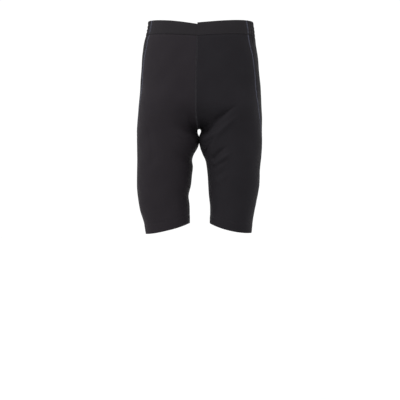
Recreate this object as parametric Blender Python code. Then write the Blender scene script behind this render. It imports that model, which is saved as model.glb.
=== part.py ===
"""Cycling shorts, hollow and filled out as worn: two front panels, two back panels, a waistband of three pieces.

Metres, +Z up. The front faces -Y and the wearer's left is +X. The origin is the middle of the waist, level with
the band's upper edge between side and front. The cloth is lofted through level sections. Above the crotch a
section is an arc from the centre back round the side to the centre front; at the crotch curve it closes in, and
below it runs right round the leg, from inseam to inseam.
"""

import math
from collections import namedtuple

import bmesh
import bpy
import numpy as np

MM = 0.001

# Cloth and sewing
WALL = 1.2 * MM  # stretch knit with its seam allowances
BAND_WALL = 2.2 * MM  # doubled knit round an elastic
HEM_WALL = 2.2 * MM  # the hem is turned up inside
SEAM_GAP = 0.3 * MM
BAND_DEPTH = 37.5 * MM

# Heights
WAIST_SIDE = 3 * MM  # upper edge at the side
FRONT_DIP = 14.5 * MM  # how far the waist drops from the side to the centre front
BACK_RISE = 13 * MM  # and how far it climbs to the centre back
BAND_DROP = 4 * MM  # the right front band's upper edge drops below the left one's where the two meet
BAND_DROP_WIDTH = 75 * MM
BAND_DROP_POWER = 1.5
WAIST_TILT = 0.011  # the waist is higher on the right, by this share of the distance from the middle
RISE_TOP = -150 * MM  # here the sections begin to close in towards the crotch
CROTCH = -279 * MM
CROTCH_SIDE = -262 * MM  # the side of the section that ends at the crotch point
HEM_SIDE = -556.5 * MM
HEM_INSEAM = -529 * MM
HEM_DIP = 5 * MM  # the hem's front and back hang lower than a straight slant
HEM_DIP_POWER = 6  # and only the rows near it share this
HEM_TILT = 0.0145  # the right hem is lower, by this share of the distance from its inseam, and the left one higher

# Form of the sections
WAIST_LEAN = 2.5 * MM  # the body leans a little, so its middle plane shifts from this at the waist
LEG_LEAN = -2.5 * MM  # to this at the crotch and below
TORSO_SQUARE = 2.3  # exponent of the superellipse, 2 for an ellipse
LEG_SQUARE = 2.1
CROTCH_RADIUS = 4.5 * MM  # of the saddle between the legs
FRONT_RADIUS = 30 * MM  # of the shallow valley where the legs begin
RISE_HEIGHT_POWER = 4.6  # the crotch curve is a quarter of a superellipse
RISE_DEPTH_POWER = 2.2
WAIST_SLANT_POWER = 0.8  # how a section's height runs from its side to its ends, above the crotch curve
SLANT_POWER = 1.1  # and on the legs

# Rows and columns of the mesh. A level is 0 at the waist, 1 at the top of the crotch curve, 2 at the crotch point
# and 3 at the hem.
GATHER_LEVELS = (0.27, 0.32)
PLAIN_LEVELS = (
    0.38, 0.52, 0.68, 0.84, 1, 1.15, 1.30, 1.45, 1.56, 1.65, 1.74, 1.81, 1.88, 1.94,
    2, 2.005, 2.018, 2.045, 2.08, 2.12, 2.165, 2.21, 2.26, 2.31, 2.37,
    2.44, 2.52, 2.60, 2.68, 2.76, 2.84, 2.905, 2.917, 3,
)
HEM_LEVEL = 2.91  # the turned-up edge inside
FRONT_COLUMNS = 22
BACK_COLUMNS = 16
BAND_COLUMNS = 14
BAND_ROWS = 2
DENSE = 240  # points of a section before it is spaced evenly
NEAR = 0.004  # the step, in place and in level, over which directions are measured
SAME = 1e-9  # two shares of a row closer than this are one

# Gathers of the elasticated back
GATHERS = 20  # on each side of the centre back
GATHER_COLUMNS = 4  # for one gather
GATHER_HEIGHT = 1.1 * MM
GATHER_FADE = 30 * MM  # they run out this far under the band
BAND_PROUD = 0.4 * MM  # the band stands this much over the panels

# Section: height, distance of the right and left side from X = 0, and the front and back in Y
Section = namedtuple("Section", "z right left front back")
SECTIONS = [Section(*(MM * size for size in row)) for row in (
    (5, 135.5, 140, -103, 98),
    (-16, 138.5, 143.5, -106, 102),
    (-32, 142, 145, -107, 106),
    (-53, 148, 148, -109, 111),
    (-69, 151, 151, -110, 115),
    (-122, 157, 157, -112, 125),
    (-180, 160, 161, -110, 131),
    (-220, 164, 163, -106, 128),
    (-255, 167, 165, -100, 116),
    (-282, 168.5, 165, -95, 103),
    (-335, 167, 164, -89, 88),
    (-388, 168, 160, -84, 79),
    (-442, 167, 156, -77, 72),
    (-468, 164, 151, -74, 69),
    (-495, 159, 146, -71, 67),
    (-521, 151, 141, -68, 64),
    (-558, 144, 137, -64, 61),
)]

# Inseam: height, distance of the right and left leg's inner edge from X = 0, and how far the thighs press together
Inner = namedtuple("Inner", "z right left press")
INSEAM = [Inner(*(MM * size for size in row)) for row in (
    (-279, 7.0, 2.0, 0),
    (-287, 7.0, 2.0, 0),
    (-301, 3.1, -1.9, 3),
    (-317, 3.1, -1.9, 3),
    (-335, 10.0, 2.6, 0),
    (-349, 18.0, 8.5, 0),
    (-363, 21.5, 15.0, 0),
    (-377, 19.5, 18.0, 0),
    (-403, 21.5, 21.0, 0),
    (-430, 24.5, 22.5, 0),
    (-455, 30.5, 24.2, 0),
    (-482, 28.0, 27.0, 0),
    (-529, 27.5, 26.5, 0),
)]

# Side seam: height, and its angle in front of the side
Seam = namedtuple("Seam", "z degrees")
SIDE_SEAM = [Seam(z * MM, degrees) for z, degrees in (
    (5, 32), (-35, 30), (-61, 30), (-100, 26), (-153, 25), (-205, 25), (-240, 22), (-273, 15), (-300, 8),
    (-340, 0), (-400, -4), (-558, -5),
)]

# Folds: the half and face that they lie on, from one end to the other in X and Z with X growing, width of the upper
# and the lower flank at the end near the crotch, height out, and how sharp the line is
Fold = namedtuple("Fold", "half face x0 z0 x1 z1 upper lower height line")
SHARP, SOFT = 1.25, 2  # powers of the flanks' profile
FOLDS = [Fold(half, face, *(MM * size for size in sizes), line) for half, face, *sizes, line in (
    ("left", "front", 0, -295, 98, -230, 18, 11, -10.0, SHARP),
    ("left", "front", 8, -334, 116, -243, 11, 12, 4.6, SOFT),
    ("left", "front", 8, -348, 58, -292, 13, 7, -7.0, SHARP),
    ("left", "front", 34, -366, 84, -325, 6, 7, -5.0, SHARP),
    ("left", "front", 36, -380, 92, -343, 8, 10, 4.0, SOFT),
    ("right", "front", -24, -236, -14, -296, 14, 5, -2.6, SHARP),
    ("right", "front", -60, -298, -6, -324, 9, 8, -2.2, SOFT),
    ("right", "front", -140, -250, -116, -384, 18, 7, -1.8, SOFT),
    ("left", "back", 4, -300, 98, -262, 18, 10, -4.6, SHARP),
    ("left", "back", 18, -312, 98, -276, 9, 9, 2.6, SOFT),
    ("left", "back", 20, -328, 92, -293, 8, 7, -2.6, SHARP),
    ("right", "back", -92, -256, -4, -296, 17, 10, -4.2, SHARP),
    ("right", "back", -90, -272, -16, -308, 9, 9, 2.4, SOFT),
    ("right", "back", -98, -302, -24, -330, 8, 7, -2.4, SHARP),
)]
FAN = 1.15  # a fold's flanks have this share of their width at the crotch
FAN_LOSS = 0.85  # and lose this share on the way out
FAN_LEAST = 0.2
FOLD_START = 6  # one over the share of a fold's length in which it rises
FOLD_END = 2  # and in which it runs out
CLEAR_OF_ENDS = 14  # one over the distance, in place, in which folds fade towards the ends of a section
CLEAR_OF_SIDE = 12  # and towards the side

CLOTH_COLOUR = (0.021, 0.019, 0.023, 1)
BAND_COLOUR = (0.028, 0.026, 0.030, 1)
CLOTH_ROUGHNESS = 0.62
SHARP_ANGLE = math.radians(50)

# One level of the shorts: heights at the side, the centre front and the centre back, how far the crotch curve still
# is from the middle (1 above it, 0 on the legs), the radius of the valley between the legs, the hem's dip, and the
# tilt away from the middle or the inseam
Row = namedtuple("Row", "side front back rise radius dip tilt")

SIGN = {"right": -1, "left": 1}


def read(table, column, z):
    """A table's column at one or more heights, on a smooth curve through its rows."""
    heights = np.array([row.z for row in table])[::-1]
    values = np.array([getattr(row, column) for row in table])[::-1]
    slopes = np.gradient(values, heights)
    z = np.clip(z, heights[0], heights[-1])
    i = np.clip(np.searchsorted(heights, z, side="right") - 1, 0, len(heights) - 2)
    step = heights[i + 1] - heights[i]
    t = (z - heights[i]) / step
    return (
        (2 * t**3 - 3 * t**2 + 1) * values[i]
        + (t**3 - 2 * t**2 + t) * step * slopes[i]
        + (3 * t**2 - 2 * t**3) * values[i + 1]
        + (t**3 - t**2) * step * slopes[i + 1]
    )


def ease(t):
    """From 0 to 1, level at both ends."""
    t = np.clip(t, 0, 1)
    return t * t * (3 - 2 * t)


def lean(z):
    """Where the middle plane is at a height."""
    return WAIST_LEAN + (LEG_LEAN - WAIST_LEAN) * ease(z / CROTCH)


def row_at(level):
    """The heights and the form of a level."""
    if level < 1:
        side = WAIST_SIDE + (RISE_TOP - WAIST_SIDE) * level
        down = 1 - level
        return Row(side, side - FRONT_DIP * down, side + BACK_RISE * down, 1, FRONT_RADIUS, 0, -WAIST_TILT * down)
    if level < 2:  # it ends on the crotch curve
        fallen = math.sin((level - 1) * math.pi / 2)
        end = RISE_TOP + (CROTCH - RISE_TOP) * fallen
        rise = (1 - fallen**RISE_HEIGHT_POWER) ** (1 / RISE_DEPTH_POWER)
        radius = CROTCH_RADIUS + (FRONT_RADIUS - CROTCH_RADIUS) * rise**2
        return Row(RISE_TOP + (CROTCH_SIDE - RISE_TOP) * (level - 1), end, end, rise, radius, 0, 0)
    share = level - 2
    side = CROTCH_SIDE + (HEM_SIDE - CROTCH_SIDE) * share
    end = CROTCH + (HEM_INSEAM - CROTCH) * share
    radius = max(CROTCH_RADIUS - (CROTCH - end), 0)
    return Row(side, end, end, 0, radius, HEM_DIP * share**HEM_DIP_POWER, HEM_TILT * share)


def section(level, half):
    """Points of a level from its back end round the side to its front end, with their places and angles.

    A place is -1 at the back end, 0 at the side and 1 at the front end.
    """
    row, sign = row_at(level), SIGN[half]
    out = read(SECTIONS, half, row.side) - sign * lean(row.side)
    square = LEG_SQUARE + (TORSO_SQUARE - LEG_SQUARE) * row.rise
    edge = press = 0
    if row.rise > 0:  # the arc stops where its depth has come down to the crotch curve
        stop = -((1 - row.rise**square) ** (1 / square))
        inner = (2 * row.radius - out * (1 + stop)) / (1 - stop)
        last = math.acos(-(abs(stop) ** (square / 2)))
    else:
        edge = read(INSEAM, half, row.front) - sign * LEG_LEAN
        press = read(INSEAM, "press", row.front)
        inner, last = edge - press, math.pi
    halves = []
    for end, end_z in ((1, row.back), (-1, row.front)):
        angle = np.linspace(0, last, DENSE)
        across = np.sign(np.cos(angle)) * np.abs(np.cos(angle)) ** (2 / square)
        x = (out + inner) / 2 + (out - inner) / 2 * across
        if press:  # flattened where the thighs meet
            x = edge + (x - edge + np.sqrt((x - edge) ** 2 + press**2)) / 2
        x = out * np.sqrt(np.maximum(x**2 - row.radius**2, 0) / (out**2 - row.radius**2))
        slant = (np.maximum(out - x, 0) / (out - x[-1])) ** (WAIST_SLANT_POWER if level < 1 else SLANT_POWER)
        z = row.side + (end_z - row.side) * slant - row.dip * np.sin(angle) ** 2 + sign * row.tilt * (x - x[-1])
        front, back = read(SECTIONS, "front", z), read(SECTIONS, "back", z)
        y = (front + back) / 2 + end * (back - front) / 2 * np.abs(np.sin(angle)) ** (2 / square)
        points = np.stack([sign * x + lean(z), y, z], axis=1)
        along = np.concatenate([[0], np.cumsum(np.linalg.norm(np.diff(points, axis=0), axis=1))])
        halves.append((points, along / along[-1], angle))
    (back_points, back_place, back_angle), (points, place, angle) = halves
    return (
        np.concatenate([back_points[::-1], points[1:]]),
        np.concatenate([-back_place[::-1], place[1:]]),
        np.concatenate([-back_angle[::-1], angle[1:]]),
    )


def seam_place(level, half):
    """Where the side seam crosses a level."""
    _, place, angle = section(level, half)
    return float(np.interp(math.radians(read(SIDE_SEAM, "degrees", row_at(level).side)), angle, place))


def at(level, half, places):
    """Points of a level at the given places."""
    points, place, _ = section(level, half)
    return np.stack([np.interp(places, place, points[:, axis]) for axis in range(3)], axis=1)


def outward(level, half, places):
    """Directions out of the cloth at the given places."""
    along = at(level, half, np.minimum(places + NEAR, 1)) - at(level, half, np.maximum(places - NEAR, -1))
    across = at(max(level - NEAR, 0), half, places) - at(min(level + NEAR, 3), half, places)
    for i in np.flatnonzero(np.abs(places) > 1 - NEAR):
        end = math.copysign(1, places[i])
        if level <= 2:  # on the rise seam the other half mirrors this one, and the crotch point faces down
            along[i] = (-SIGN[half] * end, 0, 0)
            across[i] = (0, -end, 0) if level == 2 else (0, across[i][1], across[i][2])
        else:  # on the inseam the front runs on into the back
            along[i] = (0, 1, 0)
            across[i][1] = 0
    normal = -SIGN[half] * np.cross(along, across)
    return normal / np.linalg.norm(normal, axis=1)[:, None]


def relief(level, half, places, points):
    """How far the folds and gathers stand out of the plain form."""
    height = np.zeros(len(places))
    for fold in FOLDS:
        if fold.half != half:
            continue
        start = np.array([fold.x0, fold.z0])
        run = np.array([fold.x1, fold.z1]) - start
        away = points[:, (0, 2)] - start
        share = away @ run / (run @ run)
        off = (away[:, 1] * run[0] - away[:, 0] * run[1]) / np.linalg.norm(run)
        out = share if half == "left" else 1 - share  # from the crotch
        ends = ease(out * FOLD_START) * ease((1 - out) * FOLD_END)
        face = places > 0 if fold.face == "front" else places < 0
        width = np.where(off > 0, fold.upper, fold.lower) * np.clip(FAN - FAN_LOSS * out, FAN_LEAST, FAN)
        height += face * fold.height * ends * np.exp(-(np.abs(off / width) ** fold.line))
    height *= ease((1 - np.abs(places)) * CLEAR_OF_ENDS) * ease(np.abs(places) * CLEAR_OF_SIDE)
    side = row_at(level).side
    seam = seam_place(level, half)
    share = (places + 1) / (seam + 1)  # from the centre back to the side seam
    depth = ease(1 - (WAIST_SIDE - BAND_DEPTH - side) / GATHER_FADE)
    wave = np.sin(2 * math.pi * GATHERS * share)
    return height + GATHER_HEIGHT * depth * wave * (share < 1)


def wall(level, half, places, thick, proud=0.0):
    """A level's outer and inner points."""
    points = at(level, half, places)
    normal = outward(level, half, places)
    if level == 2:  # four panels meet at the crotch point
        for i in np.flatnonzero(np.abs(places) > 1 - NEAR):
            points[i] += (SIGN[half] * SEAM_GAP / 2, -math.copysign(SEAM_GAP / 2, places[i]), 0)
    outer = points + normal * (relief(level, half, places, points) + proud)[:, None]
    return outer, outer - normal * thick


def columns(level, half, first, last, count):
    """Places from one seam to the other, with half a gap left at both."""
    points, place, _ = section(level, half)
    gap = SEAM_GAP / np.linalg.norm(np.diff(points, axis=0), axis=1).sum()
    return np.linspace(first + gap, last - gap, count + 1)


def bridge(shape, upper, lower):
    """Faces between two rows of corners, with triangles where one has more than the other."""
    i = j = 0
    while i < len(upper) - 1 or j < len(lower) - 1:
        next_upper = (i + 1) / (len(upper) - 1)
        next_lower = (j + 1) / (len(lower) - 1)
        if abs(next_upper - next_lower) < SAME:
            shape.faces.new((upper[i], lower[j], lower[j + 1], upper[i + 1]))
            i, j = i + 1, j + 1
        elif next_upper < next_lower:
            shape.faces.new((upper[i], lower[j], upper[i + 1]))
            i += 1
        else:
            shape.faces.new((upper[i], lower[j], lower[j + 1]))
            j += 1


def loft(name, rows, colour):
    """A named piece of cloth through its rows, each an outer and an inner line of points."""
    shape = bmesh.new()
    sides = [[[shape.verts.new(point) for point in line] for line in side] for side in zip(*rows)]
    for side in sides:
        for upper, lower in zip(side, side[1:]):
            bridge(shape, upper, lower)
    outer, inner = sides
    for end in (0, -1):
        bridge(shape, outer[end], inner[end])
        bridge(shape, [line[end] for line in outer], [line[end] for line in inner])
    bmesh.ops.recalc_face_normals(shape, faces=shape.faces)
    mesh = bpy.data.meshes.new(name)
    shape.to_mesh(mesh)
    shape.free()
    mesh.shade_smooth()
    mesh.set_sharp_from_angle(angle=SHARP_ANGLE)
    material = bpy.data.materials.new(name)
    material.use_nodes = True
    surface = material.node_tree.nodes["Principled BSDF"]
    surface.inputs["Base Color"].default_value = colour
    surface.inputs["Roughness"].default_value = CLOTH_ROUGHNESS
    surface.inputs["Metallic"].default_value = 0
    mesh.materials.append(material)
    piece = bpy.data.objects.new(name, mesh)
    collection.objects.link(piece)
    return piece


def front_panel(half):
    rows = []
    for level in (panel_top, *GATHER_LEVELS, *PLAIN_LEVELS):
        places = columns(level, half, seam_place(level, half), 1, FRONT_COLUMNS)
        rows.append(wall(level, half, places, HEM_WALL if level > HEM_LEVEL else WALL))
    return loft(f"front_panel_{half}", rows, CLOTH_COLOUR)


def back_panel(half):
    rows = []
    for level in (panel_top, *GATHER_LEVELS):
        places = columns(level, half, -1, seam_place(level, half), GATHERS * GATHER_COLUMNS)
        rows.append(wall(level, half, places, WALL))
    for level in PLAIN_LEVELS:
        places = columns(level, half, -1, seam_place(level, half), BACK_COLUMNS)
        rows.append(wall(level, half, places, HEM_WALL if level > HEM_LEVEL else WALL))
    return loft(f"back_panel_{half}", rows, CLOTH_COLOUR)


def front_band(half):
    rows = []
    for level in np.linspace(0, band_bottom, BAND_ROWS + 1):
        places = columns(level, half, seam_place(level, half), 1, BAND_COLUMNS)
        lines = wall(level, half, places, BAND_WALL, BAND_PROUD)
        if level == 0 and half == "right":
            for line in lines:
                near = 1 - np.abs(line[:, 0] - WAIST_LEAN) / BAND_DROP_WIDTH
                line[:, 2] -= BAND_DROP * np.maximum(near, 0) ** BAND_DROP_POWER
        rows.append(lines)
    return loft(f"waistband_front_{half}", rows, BAND_COLOUR)


def back_band():
    """One elasticated piece from side seam to side seam."""
    rows = []
    for level in np.linspace(0, band_bottom, BAND_ROWS + 1):
        lines = []
        for half in ("right", "left"):
            places = columns(level, half, -1, seam_place(level, half), GATHERS * GATHER_COLUMNS)
            places[0] = -1
            lines.append(wall(level, half, places, BAND_WALL, BAND_PROUD))
        rows.append([np.concatenate([right[::-1], left[1:]]) for right, left in zip(*lines)])
    return loft("waistband_back", rows, BAND_COLOUR)


for old in list(bpy.data.objects):
    bpy.data.objects.remove(old, do_unlink=True)
collection = bpy.data.collections.new("cycling_shorts")
bpy.context.scene.collection.children.link(collection)

band_bottom = BAND_DEPTH / (WAIST_SIDE - RISE_TOP)
panel_top = (BAND_DEPTH + SEAM_GAP) / (WAIST_SIDE - RISE_TOP)
for half in SIGN:
    front_panel(half)
    back_panel(half)
    front_band(half)
back_band()
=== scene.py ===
"""Cycling shorts, filled out as worn.

Knit shells lie on the CAD panels, with their creases, gathers, seams and stitching.
"""

import math
from collections import namedtuple
from functools import lru_cache

import bpy
import numpy as np
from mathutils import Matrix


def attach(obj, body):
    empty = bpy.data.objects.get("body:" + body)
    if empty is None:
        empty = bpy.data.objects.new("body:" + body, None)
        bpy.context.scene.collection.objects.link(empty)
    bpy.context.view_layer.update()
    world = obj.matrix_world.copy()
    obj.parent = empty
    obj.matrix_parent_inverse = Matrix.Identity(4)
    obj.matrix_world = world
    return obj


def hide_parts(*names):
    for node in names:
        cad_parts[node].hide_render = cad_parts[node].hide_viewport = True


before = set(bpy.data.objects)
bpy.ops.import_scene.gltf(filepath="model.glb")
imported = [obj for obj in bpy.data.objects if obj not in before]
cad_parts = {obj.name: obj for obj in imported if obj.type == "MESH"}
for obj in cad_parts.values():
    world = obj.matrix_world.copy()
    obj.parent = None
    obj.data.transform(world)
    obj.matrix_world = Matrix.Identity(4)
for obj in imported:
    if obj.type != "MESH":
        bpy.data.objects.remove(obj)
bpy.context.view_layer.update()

MM = 0.001

# Sizes of the garment, as in its solids
WALL = 1.2 * MM
BAND_WALL = 2.2 * MM
HEM_WALL = 2.2 * MM
BAND_DEPTH = 37.5 * MM
WAIST_SIDE = 3 * MM
FRONT_DIP = 14.5 * MM
BACK_RISE = 13 * MM
BAND_DROP = 4 * MM
BAND_DROP_WIDTH = 75 * MM
BAND_DROP_POWER = 1.5
WAIST_TILT = 0.011
RISE_TOP = -150 * MM
CROTCH = -279 * MM
CROTCH_SIDE = -262 * MM
HEM_SIDE = -556.5 * MM
HEM_INSEAM = -529 * MM
HEM_DIP = 5 * MM
HEM_DIP_POWER = 6
HEM_TILT = 0.0145
WAIST_LEAN = 2.5 * MM
LEG_LEAN = -2.5 * MM
TORSO_SQUARE = 2.3
LEG_SQUARE = 2.1
CROTCH_RADIUS = 4.5 * MM
FRONT_RADIUS = 30 * MM
RISE_HEIGHT_POWER = 4.6
RISE_DEPTH_POWER = 2.2
WAIST_SLANT_POWER = 0.8
SLANT_POWER = 1.1
BAND_PROUD = 0.4 * MM
DENSE = 400  # points of a section before it is spaced evenly
NEAR = 0.004  # the step, in place and in level, over which directions are measured
LEAST_LENGTH = 1e-12  # of a vector that is made a direction
SEAM_GAP = 0.01 * MM  # between the shells, which stitches draw together

# Section: height, distance of the right and left side from X = 0, and the front and back in Y
Section = namedtuple("Section", "z right left front back")
SECTIONS = [Section(*(MM * size for size in row)) for row in (
    (5, 135.5, 140, -103, 98),
    (-16, 138.5, 143.5, -106, 102),
    (-32, 142, 145, -107, 106),
    (-53, 148, 148, -109, 111),
    (-69, 151, 151, -110, 115),
    (-122, 157, 157, -112, 125),
    (-180, 160, 161, -110, 131),
    (-220, 164, 163, -106, 128),
    (-255, 167, 165, -100, 116),
    (-282, 168.5, 165, -95, 103),
    (-335, 167, 164, -89, 88),
    (-388, 168, 160, -84, 79),
    (-442, 167, 156, -77, 72),
    (-468, 164, 151, -74, 69),
    (-495, 159, 146, -71, 67),
    (-521, 151, 141, -68, 64),
    (-558, 144, 137, -64, 61),
)]

# Inseam: height, distance of the right and left leg's inner edge from X = 0, and how far they are pressed in
Inner = namedtuple("Inner", "z right left press")
INSEAM = [Inner(*(MM * size for size in row)) for row in (
    (-279, 7.0, 2.0, 0),
    (-287, 7.0, 2.0, 0),
    (-301, 3.1, -1.9, 3),
    (-317, 3.1, -1.9, 3),
    (-335, 10.0, 2.6, 0),
    (-349, 18.0, 8.5, 0),
    (-363, 21.5, 15.0, 0),
    (-377, 19.5, 18.0, 0),
    (-403, 21.5, 21.0, 0),
    (-430, 24.5, 22.5, 0),
    (-455, 30.5, 24.2, 0),
    (-482, 28.0, 27.0, 0),
    (-529, 27.5, 26.5, 0),
)]

# Side seam: height, and its angle in front of the side
Seam = namedtuple("Seam", "z degrees")
SIDE_SEAM = [Seam(z * MM, degrees) for z, degrees in (
    (5, 32), (-35, 30), (-61, 30), (-100, 26), (-153, 25), (-205, 25), (-240, 22), (-273, 15), (-300, 8),
    (-340, 0), (-400, -4), (-558, -5),
)]

# Folds: the half and face that they lie on, from one end to the other in X and Z with X growing, width of
# the upper and the lower flank at the end near the crotch, height out, how far the middle bows upward, and
# how sharp its line is
Fold = namedtuple("Fold", "half face x0 z0 x1 z1 upper lower height bow line")
SHARP, SOFT = 1.25, 2  # powers of the flanks' profile
FOLDS = [Fold(half, face, *(MM * size for size in sizes), line) for half, face, *sizes, line in (
    # the long drag line from the crotch to the left thigh, its ridge, and the smaller ones under it
    ("left", "front", 0, -295, 108, -223, 18, 11, -10.0, 0, SHARP),
    ("left", "front", 36, -270, 108, -222, 8, 4, -2.2, 0, SHARP),
    ("left", "front", 0, -341, 116, -243, 11, 12, 4.8, 0, SOFT),
    ("left", "front", 8, -348, 58, -292, 13, 7, -7.0, 0, SHARP),
    ("left", "front", 34, -367, 84, -326, 6, 7, -5.0, 3, SHARP),
    ("left", "front", 36, -380, 92, -343, 8, 10, 4.8, 0, SOFT),
    ("left", "front", 38, -388, 82, -357, 6, 6, -1.8, 0, SHARP),
    ("left", "front", 40, -398, 84, -368, 7, 7, 1.7, 0, SOFT),
    ("left", "front", 46, -411, 82, -385, 6, 6, -1.3, 0, SHARP),
    ("left", "front", 46, -426, 86, -398, 7, 7, 1.2, 0, SOFT),
    ("left", "front", 12, -316, 50, -286, 5, 4, 2.6, 0, SOFT),
    ("left", "front", 14, -325, 52, -297, 4, 5, -2.2, 0, SOFT),
    ("left", "front", 24, -330, 40, -306, 2.4, 2.4, 0.8, 0, SOFT),
    ("left", "front", 30, -334, 46, -308, 2.4, 2.4, 0.8, 0, SOFT),
    ("left", "front", 37, -337, 52, -312, 2.4, 2.4, 0.6, 0, SOFT),
    # the hollows on both sides of the rise seam
    ("left", "front", 10, -236, 13, -300, 10, 8, -0.5, 0, SOFT),
    ("right", "front", -24, -236, -14, -296, 14, 5, -1.8, 0, SHARP),
    ("right", "front", -60, -298, -6, -324, 9, 8, -2.2, -3, SOFT),
    # shallow edges on the right thigh
    ("right", "front", -140, -250, -116, -384, 18, 7, -1.8, 6, SOFT),
    ("right", "front", -44, -440, -36, -500, 10, 10, -1.2, 0, SOFT),
    # the same drag lines behind, under the seat
    ("left", "back", 4, -300, 98, -262, 18, 10, -4.6, -4, SHARP),
    ("left", "back", 18, -312, 98, -276, 9, 9, 2.6, -4, SOFT),
    ("left", "back", 20, -328, 92, -293, 8, 7, -2.6, -4, SHARP),
    ("left", "back", 34, -374, 80, -344, 8, 8, -1.3, -2, SOFT),
    ("right", "back", -92, -256, -4, -296, 17, 10, -4.2, -4, SHARP),
    ("right", "back", -90, -272, -16, -308, 9, 9, 2.4, -4, SOFT),
    ("right", "back", -98, -302, -24, -330, 8, 7, -2.4, -4, SHARP),
    ("right", "back", -86, -362, -40, -386, 8, 8, -1.1, -2, SOFT),
)]
FAN = 1.15  # a fold's flanks have this share of their width at the crotch
FAN_LOSS = 0.85  # and lose this share on the way out
FAN_LEAST = 0.2
FOLD_START = 6  # one over the share of a fold's length in which it rises
FOLD_END = 2  # and in which it runs out
CLEAR_OF_ENDS = 14  # one over the distance, in place, in which folds fade towards a seam
CLEAR_OF_SIDE = 12  # and towards the side

# Gathers of the elasticated back, and the channels that its stitching makes
GATHERS = 20  # on each side of the centre back
GATHER_HEIGHT = 1.2 * MM
GATHER_FADE = 36 * MM  # below the band
GATHER_LENGTHS = (0.7, 0.5)  # shares of that: their mean length, and how far single ones differ from it
GATHER_GROUP = 3  # gathers to one wave of their lengths
GATHER_GROUP_START = 1
STRAY = (0.7, 2.3)  # how far the gathers stray from even, as an angle, and how often
SMALL_STRAY = (0.5, 5.1)
EVEN_ENDS = 6  # one over the share of the back in which they stray less towards a seam
CLEAR_OF_SEAM = 14  # and in which they run out towards the side seam
CHANNELS = (0.26, 0.5, 0.74)  # down the band
CHANNEL_DEPTH = 0.8 * MM
CHANNEL_WIDTH = 2.2 * MM
CHANNEL_HOLD = 0.45  # a channel flattens the gathers by this share
CHANNEL_START = 20  # one over the distance, in place, in which the channels begin behind the side seam

# Unevenness of cloth that nothing holds flat: height, waves a metre along X, Y and Z, and where they start
Ripple = namedtuple("Ripple", "height x y z turn")
RIPPLES = (
    Ripple(0.35 * MM, 9, 5, 7, 0.4),
    Ripple(0.25 * MM, -13, 8, 12, 1.9),
    Ripple(0.15 * MM, 21, -17, 16, 4.4),
)
RIPPLE_ENDS = 10  # one over the distance, in place, in which the ripples fade towards a seam
RIPPLE_TOP = 0.2  # the level at which they begin under the band
RIPPLE_RISE = 5  # one over the levels in which they grow
SEAM_DIP = 0.5 * MM  # the cloth sinks in beside a seam
SEAM_DIP_WIDTH = 2.6 * MM
BAND_DIP = 1.1 * MM  # and under the band
BAND_DIP_WIDTH = 3 * MM
BAND_EDGE_DIP = 0.4 * BAND_DIP  # the band's own edge turns in
PUCKER = 0.16 * MM
PUCKER_LENGTH = 9 * MM
PUCKER_WIDTH = 7 * MM
PUCKER_STARTS = (0.0, 2.0)  # angles at which the side seam's and the other seams' puckers start
SLOW_PUCKER = (0.6, 0.37)  # a second wave's height and rate, as shares of the first

# Mesh of the shells
ROW_STEP = 2.3 * MM
RISE_ROW_STEP = 0.014  # in levels, where the sections close in
FIRST_LEG_STEP = 0.0012
LEG_STEP_GROWTH = 0.35  # a step is at most this share of the levels from the crotch
LEAST_STEP = 0.3  # a row this share of a step before a limit moves onto it
LEVEL_DIGITS = 6
KEPT = 6000  # sections that are remembered
FRONT_COLUMNS = 116
BACK_COLUMNS = 152
FRONT_BAND_COLUMNS = 70
BAND_ROWS = 22
FRONT_CROWD = 0.55  # how much closer together columns are near the seams
BACK_CROWD = 0.3
FRONT_BAND_CROWD = 0.5
UNDER_BAND = 0.02  # in levels, how far the panels reach up behind the band
RIM_TURNS = (25, 50, 75)  # degrees of the corners round a folded edge
SHARP_ANGLE = math.radians(50)
LINE_POINTS = 500  # of a line round the leg or the waist

# The knit is cut this much narrower and shorter than it is worn
PANEL_NARROWER = 0.9
PANEL_SHORTER = 0.97
BAND_NARROWER = 0.94

# Stitching
STITCH = 2.9 * MM
THREAD = 0.26 * MM  # radius
THREAD_RISE = 0.22 * MM
FLATLOCK_HALF = 1.9 * MM
STITCH_SHARE = 0.86  # of the way to the next one
HEM_DEPTH = 23 * MM
HEM_ROWS = (0, 3.2 * MM)  # above the depth
HEM_STITCH_WIDTH = 1.3 * MM  # of the dip that a row makes
HEM_STEP = 0.35 * MM  # the hem stands out over its turned-up edge
HEM_STEP_WIDTH = 4 * MM
TURN_UP = HEM_DEPTH + 3 * MM  # the cloth is doubled up to here
TURN_UP_WIDTH = 2 * MM
BAND_STITCH = 1.8 * MM  # over the band's lower edge

# Knits: the darkest and the lightest of their tone, with the width of a rib, the height of a loop and the
# depth of both. The right and left fronts are lit and shaded copies of one knit, a painted sheen, and the
# back is darker still as painted shade
PANEL_LOOPS = (0.9 * MM, 0.7 * MM, 0.12 * MM)
BAND_LOOPS = (1.1 * MM, 0.8 * MM, 0.16 * MM)
KNITS_WITH_PAINTED_LIGHT = {
    # painted sheen: the right front is given a lighter tone than the left, as if lit more
    "right": ((0.0187, 0.0162, 0.0191, 1), (0.0267, 0.0236, 0.0273, 1), PANEL_LOOPS),
    "left": ((0.0148, 0.0136, 0.0159, 1), (0.0216, 0.0201, 0.0233, 1), PANEL_LOOPS),
    # painted shade: the back panels are given a darker tone than the fronts
    "back": ((0.0128, 0.0116, 0.0135, 1), (0.0186, 0.0171, 0.0197, 1), PANEL_LOOPS),
    "band": ((0.0185, 0.0169, 0.0191, 1), (0.0265, 0.0245, 0.0273, 1), BAND_LOOPS),
}
SMOOTHEST = 0.5  # roughness, from fibre to fibre
ROUGHEST = 0.64
KNIT_SPECULAR = 0.02
KNIT_SHEEN = 0.006
SHEEN_ROUGHNESS = 0.45
LOOP_TURN = 1.6  # how much further on, as an angle, a loop is at the top of a rib
LOOP_HEIGHT = 0.4  # as a share of a rib's
FIBRE_HEIGHT = 0.5
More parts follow.
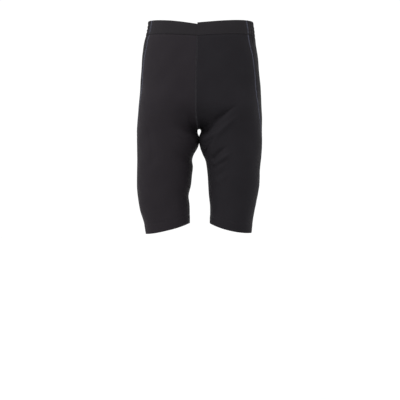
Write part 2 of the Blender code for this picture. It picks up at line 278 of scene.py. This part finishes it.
KNIT_BUMP = 0.5
MOTTLE_SCALE = 26.0
FIBRE_SCALE = 1400.0
MOTTLE_SHARE = 0.55  # in the tone
FIBRE_SHARE = 0.45

# Threads, and the twist that they show
CONTRAST = (0.15, 0.155, 0.215)
DARK = (0.019, 0.0175, 0.021)
GREY = (0.048, 0.0455, 0.052)
THREAD_ROUGHNESS = 0.45
THREAD_SPECULAR = 0.12
THREAD_SHEEN = 0.03
TWIST_SCALE = 700
TWIST_DISTORTION = 1.5
TWIST_PAINTED_SHADE = 0.7  # painted shade: the colour is darkened to this share between two turns
TWIST_BUMP = 0.4
TWIST_DEPTH = 0.08 * MM

# Camera and surroundings
CAMERA_AZIMUTH = math.radians(5)
CAMERA_HEIGHT = -0.468
CAMERA_DISTANCE = 3.06
FRAME_WIDTH = 1.064
SENSOR = 36
FLOOR = -1.06
FLOOR_SIZE = 30
FLOOR_COLOUR = (0.97, 0.97, 0.97, 1)
FLOOR_ROUGHNESS = 0.9
SKY = 1.05
GROUND = 0.6
HORIZON = (-0.2, -0.06)  # heights of direction between which the world turns from ground to sky
Light = namedtuple("Light", "name place target size power")
LIGHTS = (
    Light("key", (-1.7, -2.0, 3.1), (0, 0, -0.25), 1.5, 77),
    Light("left", (-3.0, -0.7, -0.2), (0, 0, -0.35), 1.4, 12),
    Light("right", (3.0, -0.6, -0.3), (0, 0, -0.35), 1.4, 4),
)

Row = namedtuple("Row", "side front back rise radius dip tilt")
SIGN = {"right": -1, "left": 1}
UPPER_SIDE = WAIST_SIDE - RISE_TOP  # the side's length from level 0 to 1
LEG_SIDE = CROTCH_SIDE - HEM_SIDE  # and from 2 to 3
BAND_BOTTOM = BAND_DEPTH / UPPER_SIDE
BAND_RIM = BAND_WALL / 2 / UPPER_SIDE
PANEL_TOP = BAND_BOTTOM - UNDER_BAND
HEM_END = 3 - HEM_WALL / 2 / LEG_SIDE


def read(table, column, z):
    """A table's column at one or more heights, on a smooth curve through its rows."""
    heights = np.array([row.z for row in table])[::-1]
    values = np.array([getattr(row, column) for row in table])[::-1]
    slopes = np.gradient(values, heights)
    z = np.clip(z, heights[0], heights[-1])
    i = np.clip(np.searchsorted(heights, z, side="right") - 1, 0, len(heights) - 2)
    step = heights[i + 1] - heights[i]
    t = (z - heights[i]) / step
    return (
        (2 * t**3 - 3 * t**2 + 1) * values[i]
        + (t**3 - 2 * t**2 + t) * step * slopes[i]
        + (3 * t**2 - 2 * t**3) * values[i + 1]
        + (t**3 - t**2) * step * slopes[i + 1]
    )


def ease(t):
    """From 0 to 1, level at both ends."""
    t = np.clip(t, 0, 1)
    return t * t * (3 - 2 * t)


def unit(vectors):
    return vectors / np.maximum(np.linalg.norm(vectors, axis=-1, keepdims=True), LEAST_LENGTH)


def lean(z):
    """Where the middle plane is at a height."""
    return WAIST_LEAN + (LEG_LEAN - WAIST_LEAN) * ease(z / CROTCH)


def row_at(level):
    """Heights and form of a level.

    A level is 0 at the waist, 1 at the top of the crotch curve, 2 at the crotch and 3 at the hem.
    """
    if level < 1:
        side = WAIST_SIDE + (RISE_TOP - WAIST_SIDE) * level
        down = 1 - level
        front, back = side - FRONT_DIP * down, side + BACK_RISE * down
        return Row(side, front, back, 1, FRONT_RADIUS, 0, -WAIST_TILT * down)
    if level < 2:
        fallen = math.sin((level - 1) * math.pi / 2)
        end = RISE_TOP + (CROTCH - RISE_TOP) * fallen
        rise = (1 - fallen**RISE_HEIGHT_POWER) ** (1 / RISE_DEPTH_POWER)
        radius = CROTCH_RADIUS + (FRONT_RADIUS - CROTCH_RADIUS) * rise**2
        return Row(RISE_TOP + (CROTCH_SIDE - RISE_TOP) * (level - 1), end, end, rise, radius, 0, 0)
    share = level - 2
    side = CROTCH_SIDE + (HEM_SIDE - CROTCH_SIDE) * share
    end = CROTCH + (HEM_INSEAM - CROTCH) * share
    radius = max(CROTCH_RADIUS - (CROTCH - end), 0)
    return Row(side, end, end, 0, radius, HEM_DIP * share**HEM_DIP_POWER, HEM_TILT * share)


@lru_cache(maxsize=KEPT)
def section(level, half):
    """Points of a level from its back end round the side to its front end, with their places and angles.

    A place is -1 at the back end, 0 at the side and 1 at the front end.
    """
    row, sign = row_at(level), SIGN[half]
    out = read(SECTIONS, half, row.side) - sign * lean(row.side)
    square = LEG_SQUARE + (TORSO_SQUARE - LEG_SQUARE) * row.rise
    edge = press = 0
    if row.rise > 0:
        stop = -((1 - row.rise**square) ** (1 / square))
        inner = (2 * row.radius - out * (1 + stop)) / (1 - stop)
        last = math.acos(-(abs(stop) ** (square / 2)))
    else:
        edge = read(INSEAM, half, row.front) - sign * LEG_LEAN
        press = read(INSEAM, "press", row.front)
        inner, last = edge - press, math.pi
    halves = []
    for end, end_z in ((1, row.back), (-1, row.front)):
        angle = np.linspace(0, last, DENSE)
        across = np.sign(np.cos(angle)) * np.abs(np.cos(angle)) ** (2 / square)
        x = (out + inner) / 2 + (out - inner) / 2 * across
        if press:
            x = edge + (x - edge + np.sqrt((x - edge) ** 2 + press**2)) / 2
        x = out * np.sqrt(np.maximum(x**2 - row.radius**2, 0) / (out**2 - row.radius**2))
        slant = (np.maximum(out - x, 0) / (out - x[-1])) ** (WAIST_SLANT_POWER if level < 1 else SLANT_POWER)
        z = row.side + (end_z - row.side) * slant
        z = z - row.dip * np.sin(angle) ** 2 + sign * row.tilt * (x - x[-1])
        front, back = read(SECTIONS, "front", z), read(SECTIONS, "back", z)
        y = (front + back) / 2 + end * (back - front) / 2 * np.abs(np.sin(angle)) ** (2 / square)
        points = np.stack([sign * x + lean(z), y, z], axis=1)
        along = np.concatenate([[0], np.cumsum(np.linalg.norm(np.diff(points, axis=0), axis=1))])
        halves.append((points, along / along[-1], angle))
    (back_points, back_place, back_angle), (points, place, angle) = halves
    return (
        np.concatenate([back_points[::-1], points[1:]]),
        np.concatenate([-back_place[::-1], place[1:]]),
        np.concatenate([-back_angle[::-1], angle[1:]]),
    )


@lru_cache(maxsize=KEPT)
def seam_place(level, half):
    """Where the side seam crosses a level."""
    _, place, angle = section(level, half)
    return float(np.interp(math.radians(read(SIDE_SEAM, "degrees", row_at(level).side)), angle, place))


@lru_cache(maxsize=KEPT)
def reach(level, half):
    """Half the length of a level, which is the distance that one unit of place stands for."""
    return float(np.linalg.norm(np.diff(section(level, half)[0], axis=0), axis=1).sum()) / 2


def at(level, half, places):
    """Points of a level at the given places."""
    points, place, _ = section(level, half)
    return np.stack([np.interp(places, place, points[:, axis]) for axis in range(3)], axis=1)


def outward(level, half, places):
    """Directions out of the cloth at the given places."""
    along = at(level, half, np.minimum(places + NEAR, 1)) - at(level, half, np.maximum(places - NEAR, -1))
    across = at(max(level - NEAR, 0), half, places) - at(min(level + NEAR, 3), half, places)
    for i in np.flatnonzero(np.abs(places) > 1 - NEAR):
        end = math.copysign(1, places[i])
        if level <= 2:
            along[i] = (-SIGN[half] * end, 0, 0)
            across[i] = (0, -end, 0) if level == 2 else (0, across[i][1], across[i][2])
        else:
            along[i] = (0, 1, 0)
            across[i][1] = 0
    return unit(-SIGN[half] * np.cross(along, across))


def fold_relief(half, places, points):
    """The creases."""
    height = np.zeros(len(places))
    for fold in FOLDS:
        if fold.half != half:
            continue
        start = np.array([fold.x0, fold.z0])
        run = np.array([fold.x1, fold.z1]) - start
        away = points[:, (0, 2)] - start
        share = away @ run / (run @ run)
        off = (away[:, 1] * run[0] - away[:, 0] * run[1]) / np.linalg.norm(run)
        off -= fold.bow * 4 * share * (1 - share)
        out = share if half == "left" else 1 - share  # from the crotch
        ends = ease(out * FOLD_START) * ease((1 - out) * FOLD_END)
        face = places > 0 if fold.face == "front" else places < 0
        width = np.where(off > 0, fold.upper, fold.lower) * np.clip(FAN - FAN_LOSS * out, FAN_LEAST, FAN)
        height += face * fold.height * ends * np.exp(-(np.abs(off / width) ** fold.line))
    return height * ease((1 - np.abs(places)) * CLEAR_OF_ENDS) * ease(np.abs(places) * CLEAR_OF_SIDE)


def gather_relief(level, half, places):
    """Gathers of the elastic, behind the side seam, in the band and running out below it."""
    share = (places + 1) / (seam_place(level, half) + 1)
    turn = 2 * math.pi * share
    held = ease(share * EVEN_ENDS) * ease((1 - share) * EVEN_ENDS)
    uneven = STRAY[0] * np.sin(turn * STRAY[1] + SIGN[half]) + SMALL_STRAY[0] * np.sin(turn * SMALL_STRAY[1])
    wave = np.sin(turn * GATHERS + uneven * held)
    group = np.sin(turn * GATHERS / GATHER_GROUP + GATHER_GROUP_START)
    length = GATHER_FADE * (GATHER_LENGTHS[0] + GATHER_LENGTHS[1] * group)
    depth = ease(1 - (WAIST_SIDE - BAND_DEPTH - row_at(level).side) / length)
    return GATHER_HEIGHT * depth * wave * (share < 1) * ease((1 - share) * CLEAR_OF_SEAM)


def seam_relief(level, half, places, pucker):
    """The dip and the small puckers along the seams."""
    from_side = np.abs(places - seam_place(level, half)) * reach(level, half)
    from_end = (1 - np.abs(places)) * reach(level, half)
    height = np.zeros(len(places))
    turn = 2 * math.pi * row_at(level).side / PUCKER_LENGTH
    for distance, start in zip((from_side, from_end), PUCKER_STARTS):
        wave = math.sin(turn + start) + SLOW_PUCKER[0] * math.sin(turn * SLOW_PUCKER[1] + start)
        height += pucker * wave * np.exp(-((distance / PUCKER_WIDTH) ** 2))
        height -= SEAM_DIP * np.exp(-((distance / SEAM_DIP_WIDTH) ** 2))
    return height


def hem_relief(level):
    """The hem stands out a little over its turned-up edge, with its stitches sunk in."""
    above = (3 - level) * LEG_SIDE
    rows = sum(math.exp(-(((above - HEM_DEPTH - row) / HEM_STITCH_WIDTH) ** 2)) for row in HEM_ROWS)
    return HEM_STEP * (float(ease((HEM_DEPTH - above) / HEM_STEP_WIDTH + 1)) - rows)


def ripple_relief(points):
    height = np.zeros(len(points))
    for ripple in RIPPLES:
        phase = points @ np.array([ripple.x, ripple.y, ripple.z]) * 2 * math.pi
        height += ripple.height * np.sin(phase + ripple.turn)
    return height


def panel_row(level, half, places):
    """Outer points of a panel's row, and the directions out of it."""
    points, normal = at(level, half, places), outward(level, half, places)
    height = fold_relief(half, places, points) + gather_relief(level, half, places)
    height += seam_relief(level, half, places, PUCKER) + hem_relief(level)
    rippled = ease((1 - np.abs(places)) * RIPPLE_ENDS) * ease((level - RIPPLE_TOP) * RIPPLE_RISE)
    height += ripple_relief(points) * rippled
    under_band = (level - BAND_BOTTOM) * UPPER_SIDE
    height -= BAND_DIP * math.exp(-((under_band / BAND_DIP_WIDTH) ** 2))
    return points + normal * height[:, None], normal


def band_row(level, half, places):
    """Outer points of the waistband's row, and the directions out of it."""
    points, normal = at(level, half, places), outward(level, half, places)
    down = level / BAND_BOTTOM
    height = seam_relief(level, half, places, 0) + BAND_PROUD
    behind = ease((seam_place(level, half) - places) * CHANNEL_START)
    channels = sum(math.exp(-(((down - channel) * BAND_DEPTH / CHANNEL_WIDTH) ** 2)) for channel in CHANNELS)
    height += gather_relief(level, half, places) * (1 - CHANNEL_HOLD * channels)
    height -= BAND_EDGE_DIP * math.exp(-(((1 - down) * BAND_DEPTH / BAND_DIP_WIDTH) ** 2))
    height -= behind * CHANNEL_DEPTH * channels
    if half == "right":
        near = np.maximum(1 - np.abs(points[:, 0] - WAIST_LEAN) / BAND_DROP_WIDTH, 0) * (places > 0)
        points[:, 2] -= BAND_DROP * near**BAND_DROP_POWER * max(1 - 2 * down, 0)
    return points + normal * height[:, None], normal


def columns(level, half, first, last, count, crowd):
    """Places from one seam to the other, closer together near both, with half a gap left."""
    gap = SEAM_GAP / 2 / reach(level, half)
    t = np.linspace(0, 1, count + 1)
    t = t - crowd * np.sin(2 * math.pi * t) / (2 * math.pi)
    return first + gap + (last - first - 2 * gap) * t


def levels_between(first, last):
    """Levels from one to the other, closer together where the crotch turns."""
    found = [first]
    while found[-1] < last:
        level = found[-1]
        if level < 1:
            step = ROW_STEP / UPPER_SIDE
        elif level < 2:
            step = RISE_ROW_STEP
        else:
            step = min(ROW_STEP / LEG_SIDE, max(FIRST_LEG_STEP, (level - 2) * LEG_STEP_GROWTH))
        following = round(level + step, LEVEL_DIGITS)
        for stop in (1, 2, last):
            if level < stop < following + step * LEAST_STEP:
                following = stop
                break
        found.append(following)
    return found


def fold_over(outer, inner, end):
    """Both layers with rows added that close them in a half round past one end."""
    past = unit(outer[end] - outer[1 if end == 0 else -2])
    middle, half = (outer[end] + inner[end]) / 2, (outer[end] - inner[end]) / 2
    beyond = np.linalg.norm(half, axis=1)[:, None] * past
    rims = [
        [
            middle + side * half * math.cos(math.radians(turn)) + beyond * math.sin(math.radians(turn))
            for turn in RIM_TURNS
        ]
        for side in (1, -1)
    ]
    if end == 0:
        return [np.concatenate([rim[::-1], layer]) for rim, layer in zip(rims, (outer, inner))]
    return [np.concatenate([layer, rim]) for rim, layer in zip(rims, (outer, inner))]


def mesh_object(name, points, faces, material, flat=None):
    """An object from points and faces, with the points' places on the cut cloth as its UV map."""
    mesh = bpy.data.meshes.new(name)
    mesh.from_pydata(points.tolist(), [], faces.tolist())
    if flat is not None:
        layer = mesh.uv_layers.new(name="Cut")
        corners = np.zeros(len(mesh.loops), np.int32)
        mesh.loops.foreach_get("vertex_index", corners)
        layer.uv.foreach_set("vector", flat[corners].astype(np.float32).ravel())
    mesh.shade_smooth()
    mesh.materials.append(material)
    piece = bpy.data.objects.new(name, mesh)
    bpy.context.scene.collection.objects.link(piece)
    return piece


def shell(name, outer, inner, flat, material):
    """A closed sheet between two grids of points."""
    count = outer.shape[0] * outer.shape[1]
    corner = np.arange(count).reshape(outer.shape[:2])
    grid = np.stack([corner[:-1, :-1], corner[1:, :-1], corner[1:, 1:], corner[:-1, 1:]], axis=-1)
    grid = grid.reshape(-1, 4)
    ring = np.concatenate([corner[0, :-1], corner[:-1, -1], corner[-1, :0:-1], corner[:0:-1, 0]])
    after = np.roll(ring, -1)
    border = np.stack([ring, after, after + count, ring + count], axis=-1)
    faces = np.concatenate([grid, grid[:, ::-1] + count, border])
    points = np.concatenate([outer.reshape(-1, 3), inner.reshape(-1, 3)])
    a, b, c, d = (points[faces[:, i]] for i in range(4))
    if (a * (np.cross(b, c) + np.cross(c, d))).sum() < 0:
        faces = faces[:, ::-1]
    piece = mesh_object(name, points, faces, material, np.tile(flat.reshape(-1, 2), (2, 1)))
    piece.data.set_sharp_from_angle(angle=SHARP_ANGLE)
    return piece


def layers(rows, thicks, flats, folded):
    """Grids of outer points, inner points and cut places, with the named ends folded over."""
    outer = np.array([points for points, _ in rows])
    normal = np.array([directions for _, directions in rows])
    inner = outer - normal * np.array(thicks)[:, None, None]
    flat = np.array(flats)
    for end in folded:
        outer, inner = fold_over(outer, inner, end)
        extra = [flat[end]] * len(RIM_TURNS)
        flat = np.concatenate([extra, flat] if end == 0 else [flat, extra])
    return outer, inner, flat


def cut_size(outer, narrower, shorter):
    """Width and length of the cut cloth, and its area, from the worn cloth and how much it is stretched."""
    width = max(float(np.linalg.norm(np.diff(row, axis=0), axis=1).sum()) for row in outer)
    length = float(np.linalg.norm(np.diff(outer, axis=0), axis=2).sum(axis=0).max())
    a, b, c, d = outer[:-1, :-1], outer[1:, :-1], outer[1:, 1:], outer[:-1, 1:]
    twice = np.linalg.norm(np.cross(b - a, c - a), axis=-1) + np.linalg.norm(np.cross(c - a, d - a), axis=-1)
    return (width * narrower, length * shorter), float(twice.sum()) / 2 * narrower * shorter


def on_cut(level, half, from_seam):
    """Places on the cut cloth: how far each point is from a seam, and its row's height."""
    return np.stack([from_seam * reach(level, half), np.full(len(from_seam), row_at(level).side)], axis=1)


def panel(face, half, material):
    """A front or back panel, with the size of its cut."""
    rows, thicks, flats = [], [], []
    for level in levels_between(PANEL_TOP, HEM_END):
        seam = seam_place(level, half)
        if face == "front":
            places = columns(level, half, seam, 1, FRONT_COLUMNS, FRONT_CROWD)
        else:
            places = columns(level, half, -1, seam, BACK_COLUMNS, BACK_CROWD)
        rows.append(panel_row(level, half, places))
        turned_up = ease((TURN_UP - (3 - level) * LEG_SIDE) / TURN_UP_WIDTH)
        thicks.append(WALL + (HEM_WALL - WALL) * float(turned_up))
        flats.append(on_cut(level, half, places - seam))
    outer, inner, flat = layers(rows, thicks, flats, [-1])
    piece = shell(f"knit_{face}_{half}", outer, inner, flat, material)
    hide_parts(f"{face}_panel_{half}")
    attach(piece, "root")
    return piece, cut_size(outer, PANEL_NARROWER, PANEL_SHORTER)


def band_levels():
    return np.linspace(BAND_RIM, BAND_BOTTOM - BAND_RIM, BAND_ROWS + 1).round(LEVEL_DIGITS).tolist()


def front_band(half, material):
    rows, flats = [], []
    for level in band_levels():
        places = columns(level, half, seam_place(level, half), 1, FRONT_BAND_COLUMNS, FRONT_BAND_CROWD)
        rows.append(band_row(level, half, places))
        flats.append(on_cut(level, half, places))
    outer, inner, flat = layers(rows, [BAND_WALL] * len(rows), flats, [0, -1])
    piece = shell(f"knit_waistband_front_{half}", outer, inner, flat, material)
    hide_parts(f"waistband_front_{half}")
    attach(piece, "root")
    return piece, cut_size(outer, BAND_NARROWER, 1)


def back_band(material):
    """One elasticated piece from side seam to side seam."""
    rows, flats = [], []
    for level in band_levels():
        lines = []
        for half in ("right", "left"):
            places = columns(level, half, -1, seam_place(level, half), BACK_COLUMNS, BACK_CROWD)
            places[0] = -1
            flat = on_cut(level, half, SIGN[half] * (places + 1))
            lines.append((*band_row(level, half, places), flat))
        *row, flat = [np.concatenate([right[::-1], left[1:]]) for right, left in zip(*lines)]
        rows.append(row)
        flats.append(flat)
    outer, inner, flat = layers(rows, [BAND_WALL] * len(rows), flats, [0, -1])
    piece = shell("knit_waistband_back", outer, inner, flat, material)
    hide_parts("waistband_back")
    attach(piece, "root")
    return piece, cut_size(outer, 1, 1)


# One stitch: a short six-sided tube that comes out of the cloth and goes back in
TUBE_SHARES = np.array([0, 0.18, 0.82, 1])
TUBE_RISE = np.array([-0.5, 1, 1, -0.5])
TUBE_RADII = np.array([0.4, 1, 1, 0.4])
TUBE_SIDES = 6
TUBE_CAP = np.array([[0, 1, 2, 3], [0, 3, 4, 5]])


def threads(name, stitches, material):
    """Stitches as one mesh. They are arrays of starts, ends and directions out of the cloth."""
    starts, ends, outs = stitches
    run = ends - starts
    ahead = unit(run)
    out = unit(outs - ahead * (outs * ahead).sum(axis=1, keepdims=True))
    beside = np.cross(ahead, out)
    middle = (
        starts[:, None]
        + run[:, None] * TUBE_SHARES[None, :, None]
        + out[:, None] * (THREAD_RISE * TUBE_RISE)[None, :, None]
    )
    turn = np.linspace(0, 2 * math.pi, TUBE_SIDES, endpoint=False)
    ring = out[:, None] * np.cos(turn)[None, :, None] + beside[:, None] * np.sin(turn)[None, :, None]
    points = middle[:, :, None] + ring[:, None] * (TUBE_RADII * THREAD)[None, :, None, None]
    corner = np.arange(len(TUBE_SHARES) * TUBE_SIDES).reshape(-1, TUBE_SIDES)
    around = np.roll(corner, -1, axis=1)
    tube = np.stack([corner[:-1], corner[1:], around[1:], around[:-1]], axis=-1).reshape(-1, 4)
    tube = np.concatenate([tube, TUBE_CAP, corner[-1][TUBE_CAP[:, ::-1]]])
    faces = (tube[None] + (np.arange(len(starts)) * corner.size)[:, None, None]).reshape(-1, 4)
    piece = mesh_object(name, points.reshape(-1, 3), faces, material)
    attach(piece, "root")
    return piece


def spaced(line, offset=0.0):
    """The points and directions of a line at each stitch."""
    points, outs = line
    along = np.concatenate([[0], np.cumsum(np.linalg.norm(np.diff(points, axis=0), axis=1))])
    stops = np.arange(offset * STITCH, along[-1], STITCH)
    return [
        np.stack([np.interp(stops, along, values[:, i]) for i in range(3)], axis=1)
        for values in (points, outs)
    ]


def running(line):
    """Stitches along a line, with a small space between them."""
    points, outs = spaced(line)
    return points[:-1], points[:-1] + (points[1:] - points[:-1]) * STITCH_SHARE, outs[:-1]


def crossing(one, other):
    """Looper thread to and fro between two lines."""
    near, outs = spaced(one)
    far, _ = spaced(other, 0.5)
    count = min(len(near), len(far)) - 1
    starts = np.concatenate([near[:count], far[:count]])
    ends = np.concatenate([far[:count], near[1:count + 1]])
    return starts, ends, np.concatenate([outs[:count], outs[:count]])


def together(*sets):
    return [np.concatenate(values) for values in zip(*sets)]


def flatlock(one, other):
    """Two needle lines with the looper thread between them."""
    return together(running(one), running(other), crossing(one, other))


def line_down(row, half, place, offset, levels):
    """A line beside a seam. The place is a number, or None for the side seam."""
    points, outs = [], []
    for level in levels:
        where = (seam_place(level, half) if place is None else place) + offset / reach(level, half)
        found, out = row(level, half, np.array([where]))
        points.append(found[0])
        outs.append(out[0])
    return np.array(points), np.array(outs)


def line_round(row, half, level, first, last):
    """A line round a level between two places."""
    return row(level, half, np.linspace(first, last, LINE_POINTS))


def knit(name):
    """A fine knit: ribs of loops from the cut cloth's own grain, a slight mottle, and a soft sheen."""
    dark, light, (wale, course, depth) = KNITS_WITH_PAINTED_LIGHT[name]
    material = bpy.data.materials.new(f"knit_{name}")
    material.use_nodes = True
    tree = material.node_tree
    surface = tree.nodes["Principled BSDF"]
    surface.inputs["Sheen Weight"].default_value = KNIT_SHEEN
    surface.inputs["Sheen Roughness"].default_value = SHEEN_ROUGHNESS
    surface.inputs["Specular IOR Level"].default_value = KNIT_SPECULAR

    def node(kind, **values):
        new = tree.nodes.new(kind)
        for key, value in values.items():
            if key in new.inputs:
                new.inputs[key].default_value = value
            else:
                setattr(new, key, value)
        return new

    def math_node(operation, *inputs):
        new = tree.nodes.new("ShaderNodeMath")
        new.operation = operation
        for socket, value in zip(new.inputs, inputs):
            if isinstance(value, (int, float)):
                socket.default_value = value
            else:
                tree.links.new(value, socket)
        return new.outputs[0]

    grain = node("ShaderNodeUVMap", uv_map="Cut")
    split = node("ShaderNodeSeparateXYZ")
    tree.links.new(grain.outputs["UV"], split.inputs[0])
    across, down = split.outputs["X"], split.outputs["Y"]
    rib = math_node("ABSOLUTE", math_node("SINE", math_node("MULTIPLY", across, math.pi / wale)))
    lift = math_node("MULTIPLY", rib, LOOP_TURN)
    loop = math_node("SINE", math_node("ADD", math_node("MULTIPLY", down, 2 * math.pi / course), lift))
    weave = math_node("ADD", rib, math_node("MULTIPLY", loop, LOOP_HEIGHT))

    place = node("ShaderNodeTexCoord")
    mottle = node("ShaderNodeTexNoise", Scale=MOTTLE_SCALE, Detail=4.0)
    fibre = node("ShaderNodeTexNoise", Scale=FIBRE_SCALE, Detail=2.0)
    for noise in (mottle, fibre):
        tree.links.new(place.outputs["Object"], noise.inputs["Vector"])
    blend = math_node(
        "ADD",
        math_node("MULTIPLY", mottle.outputs["Fac"], MOTTLE_SHARE),
        math_node("MULTIPLY", fibre.outputs["Fac"], FIBRE_SHARE),
    )
    tone = node("ShaderNodeMix", data_type="RGBA")
    tone_inputs = {socket.identifier: socket for socket in tone.inputs}
    tone_inputs["A_Color"].default_value = dark
    tone_inputs["B_Color"].default_value = light
    tree.links.new(blend, tone_inputs["Factor_Float"])
    tone_output = next(socket for socket in tone.outputs if socket.identifier == "Result_Color")
    tree.links.new(tone_output, surface.inputs["Base Color"])

    gloss = node("ShaderNodeMapRange")
    gloss.inputs["To Min"].default_value = SMOOTHEST
    gloss.inputs["To Max"].default_value = ROUGHEST
    tree.links.new(fibre.outputs["Fac"], gloss.inputs["Value"])
    tree.links.new(gloss.outputs["Result"], surface.inputs["Roughness"])

    bump = node("ShaderNodeBump", Strength=KNIT_BUMP, Distance=depth)
    height = math_node("ADD", weave, math_node("MULTIPLY", fibre.outputs["Fac"], FIBRE_HEIGHT))
    tree.links.new(height, bump.inputs["Height"])
    tree.links.new(bump.outputs["Normal"], surface.inputs["Normal"])
    return material


def thread_material(name, colour):
    """Twisted thread: a little glossier than the knit, with the twist as bump and as painted shade that
    darkens its colour between the turns.
    """
    material = bpy.data.materials.new(name)
    material.use_nodes = True
    tree = material.node_tree
    surface = tree.nodes["Principled BSDF"]
    surface.inputs["Roughness"].default_value = THREAD_ROUGHNESS
    surface.inputs["Specular IOR Level"].default_value = THREAD_SPECULAR
    surface.inputs["Sheen Weight"].default_value = THREAD_SHEEN
    place = tree.nodes.new("ShaderNodeTexCoord")
    twist = tree.nodes.new("ShaderNodeTexWave")
    twist.bands_direction = "DIAGONAL"
    twist.inputs["Scale"].default_value = TWIST_SCALE
    twist.inputs["Distortion"].default_value = TWIST_DISTORTION
    tree.links.new(place.outputs["Object"], twist.inputs["Vector"])
    # painted shade: the colour darkens where the twist's bump sinks in
    ramp = tree.nodes.new("ShaderNodeValToRGB")
    ramp.color_ramp.elements[0].color = (*(TWIST_PAINTED_SHADE * value for value in colour), 1)
    ramp.color_ramp.elements[1].color = (*colour, 1)
    tree.links.new(twist.outputs["Fac"], ramp.inputs["Fac"])
    tree.links.new(ramp.outputs["Color"], surface.inputs["Base Color"])
    bump = tree.nodes.new("ShaderNodeBump")
    bump.inputs["Strength"].default_value = TWIST_BUMP
    bump.inputs["Distance"].default_value = TWIST_DEPTH
    tree.links.new(twist.outputs["Fac"], bump.inputs["Height"])
    tree.links.new(bump.outputs["Normal"], surface.inputs["Normal"])
    return material


def area_light(name, place, target, size, power):
    data = bpy.data.lights.new(name, "AREA")
    data.shape = "DISK"
    data.size = size
    data.energy = power
    lamp = bpy.data.objects.new(name, data)
    lamp.location = place
    run = np.array(target) - np.array(place)
    level_run = math.hypot(run[0], run[1])
    lamp.rotation_euler = (math.atan2(level_run, -run[2]), 0, math.atan2(-run[0], run[1]))
    bpy.context.scene.collection.objects.link(lamp)
    return lamp


def surroundings():
    """White studio: floor, even light all round, a large soft key from the camera's left, and the camera."""
    scene = bpy.context.scene
    world = bpy.data.worlds.new("studio")
    world.use_nodes = True
    sky = world.node_tree
    direction = sky.nodes.new("ShaderNodeTexCoord")
    split = sky.nodes.new("ShaderNodeSeparateXYZ")
    height = sky.nodes.new("ShaderNodeMapRange")
    limits = {"From Min": HORIZON[0], "From Max": HORIZON[1], "To Min": GROUND, "To Max": SKY}
    for socket, value in limits.items():
        height.inputs[socket].default_value = value
    sky.links.new(direction.outputs["Generated"], split.inputs[0])
    sky.links.new(split.outputs["Z"], height.inputs["Value"])
    sky.links.new(height.outputs["Result"], sky.nodes["Background"].inputs["Strength"])
    sky.nodes["Background"].inputs["Color"].default_value = (1, 1, 1, 1)
    scene.world = world
    scene.view_settings.view_transform = "Standard"
    half = FLOOR_SIZE / 2
    white = bpy.data.materials.new("floor")
    white.use_nodes = True
    paint = white.node_tree.nodes["Principled BSDF"]
    paint.inputs["Base Color"].default_value = FLOOR_COLOUR
    paint.inputs["Roughness"].default_value = FLOOR_ROUGHNESS
    corners = np.array([(x * half, y * half, FLOOR) for x, y in ((-1, -1), (1, -1), (1, 1), (-1, 1))])
    floor = mesh_object("floor", corners, np.array([[0, 1, 2, 3]]), white)
    floor.visible_diffuse = False  # the dim lower half of the world lights the part from below
    for light in LIGHTS:
        area_light(*light)
    data = bpy.data.cameras.new("camera")
    data.sensor_width = SENSOR
    data.lens = SENSOR * CAMERA_DISTANCE / FRAME_WIDTH
    camera = bpy.data.objects.new("camera", data)
    camera.location = (
        CAMERA_DISTANCE * math.sin(CAMERA_AZIMUTH),
        -CAMERA_DISTANCE * math.cos(CAMERA_AZIMUTH),
        CAMERA_HEIGHT,
    )
    camera.rotation_euler = (math.pi / 2, 0, CAMERA_AZIMUTH)
    scene.collection.objects.link(camera)
    scene.camera = camera


def stitching():
    """All the seams' threads, one mesh for each seam and half."""
    contrast = thread_material("contrast_thread", CONTRAST)
    plain = thread_material("dark_thread", DARK)
    grey = thread_material("grey_thread", GREY)
    panel_levels = levels_between(BAND_BOTTOM + BAND_RIM, HEM_END)
    rise_levels = [level for level in panel_levels if level < 2]
    leg_levels = [level for level in panel_levels if level > 2]
    channel_levels = [channel * BAND_BOTTOM for channel in CHANNELS]
    sewn = {}
    for half in SIGN:
        side, band = (
            [line_down(row, half, None, offset, levels) for offset in (-FLATLOCK_HALF, FLATLOCK_HALF)]
            for row, levels in ((panel_row, panel_levels), (band_row, band_levels()))
        )
        inseam = [line_down(panel_row, half, end, -end * FLATLOCK_HALF, leg_levels) for end in (1, -1)]
        hem_levels = [3 - (HEM_DEPTH + row) / LEG_SIDE for row in HEM_ROWS]
        hems = [running(line_round(panel_row, half, level, -1, 1)) for level in hem_levels]
        band_seam = line_round(band_row, half, BAND_BOTTOM - BAND_STITCH / UPPER_SIDE, -1, 1)
        # painted highlight: the left half's band seam is sewn in the lighter grey thread, which stands in
        # for a lit lower edge of the band; the right half's is sewn in the plain dark thread
        band_thread_painted_lit_on_left = grey if half == "left" else plain
        for key, name, stitches, material, slot in (
            ("side", "side_seam", flatlock(*side), contrast, "knit"),
            ("band_side", "band_side", flatlock(*band), contrast, "band_knit"),
            ("inseam", "inseam", flatlock(*inseam), plain, "knit"),
            ("hem", "hem", together(*hems), plain, "knit"),
            ("band_seam", "band_seam", running(band_seam), band_thread_painted_lit_on_left, "band_knit"),
        ):
            sewn[f"{key}_{half}"] = threads(f"thread_{name}_{half}", stitches, material)
    for name, end in (("front", 1), ("back", -1)):
        rise = [line_down(panel_row, half, end, -end * FLATLOCK_HALF, rise_levels) for half in SIGN]
        sewn[f"rise_{name}"] = threads(f"thread_rise_{name}", flatlock(*rise), grey)
    rows = [
        running(line_round(band_row, half, level, -1, seam_place(level, half)))
        for half in SIGN for level in channel_levels
    ]
    sewn["channels"] = threads("thread_channels", together(*rows), plain)
    return sewn


surroundings()
thread = stitching()
knits = {name: knit(name) for name in KNITS_WITH_PAINTED_LIGHT}
for half in SIGN:
    # painted light: each front half takes its own lit or shaded tone, and the backs take the darker
    # painted-shade tone
    piece, (size, area) = panel("front", half, knits[half])
    piece, (size, area) = panel("back", half, knits["back"])
    piece, (size, area) = front_band(half, knits["band"])
piece, (size, area) = back_band(knits["band"])
